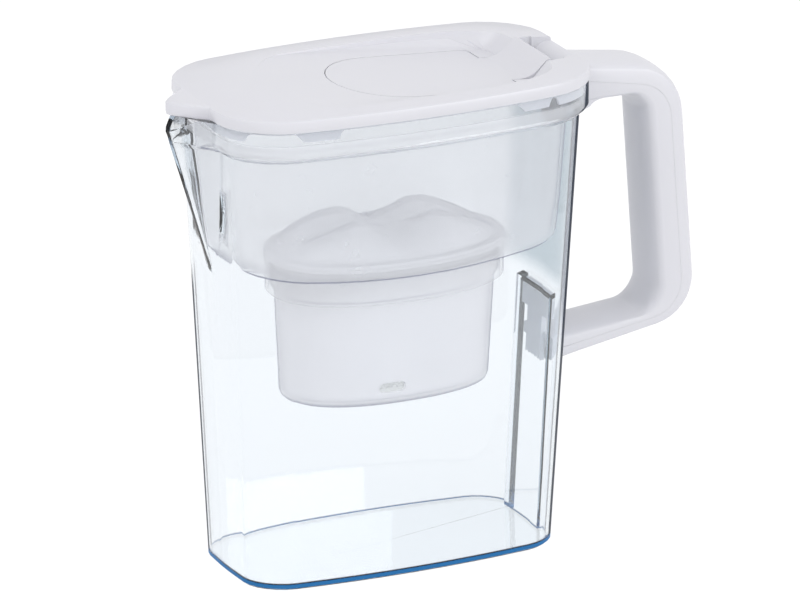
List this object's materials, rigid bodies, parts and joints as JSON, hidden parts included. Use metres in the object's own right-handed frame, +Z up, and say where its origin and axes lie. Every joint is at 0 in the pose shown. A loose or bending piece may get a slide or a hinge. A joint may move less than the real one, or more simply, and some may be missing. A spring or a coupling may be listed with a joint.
{
  "type": "water filter pitcher",
  "caption": "Fridge-door filter pitcher: clear jug with a vee spout, hanging funnel with an oval cartridge, lid with a thumb-lever fill flap, and a two-shell loop handle.",
  "frame": {"origin": "centre of the flat underside of the jug", "axes": "+X from the spout to the handle, +Y to the back, +Z up"},
  "size_m": [0.2631, 0.11, 0.2323],
  "materials": {
    "clear_plastic": "clear, faint blue",
    "white_plastic": "satin",
    "frosted_plastic": "frosted, see-through",
    "cartridge_plastic": "milky",
    "seal_rubber": "matt",
    "mesh": "fine woven",
    "fleece": "non-woven",
    "media": "granular"
  },
  "bodies": {
    "jug": {"jug": "clear_plastic", "handle_grip": "white_plastic", "handle_spine": "white_plastic"},
    "reservoir": {"funnel": "frosted_plastic"},
    "cartridge": {"cartridge_cup": "cartridge_plastic", "cartridge_cap": "cartridge_plastic", "cartridge_seal": "seal_rubber", "inlet_screen": "mesh", "inlet_pad": "fleece", "filter_media": "media", "outlet_pad": "fleece", "outlet_screen": "mesh"},
    "cover": {"lid": "white_plastic"},
    "door": {"flap": "white_plastic"}
  },
  "joints": [
    {"name": "funnel_lift", "type": "slide", "parent": "jug", "child": "reservoir", "axis": [0, 0, 1], "range_m": [0, 0.15]},
    {"name": "cartridge_lift", "type": "slide", "parent": "reservoir", "child": "cartridge", "axis": [0, 0, 1], "range_m": [0, 0.04]},
    {"name": "lid_lift", "type": "slide", "parent": "reservoir", "child": "cover", "axis": [0, 0, 1], "range_m": [0, 0.03]},
    {"name": "flap_hinge", "type": "hinge", "parent": "cover", "child": "door", "pos_m": [0.066, 0, 0.2212], "axis": [0, 1, 0], "range_deg": [0, 40]}
  ]
}
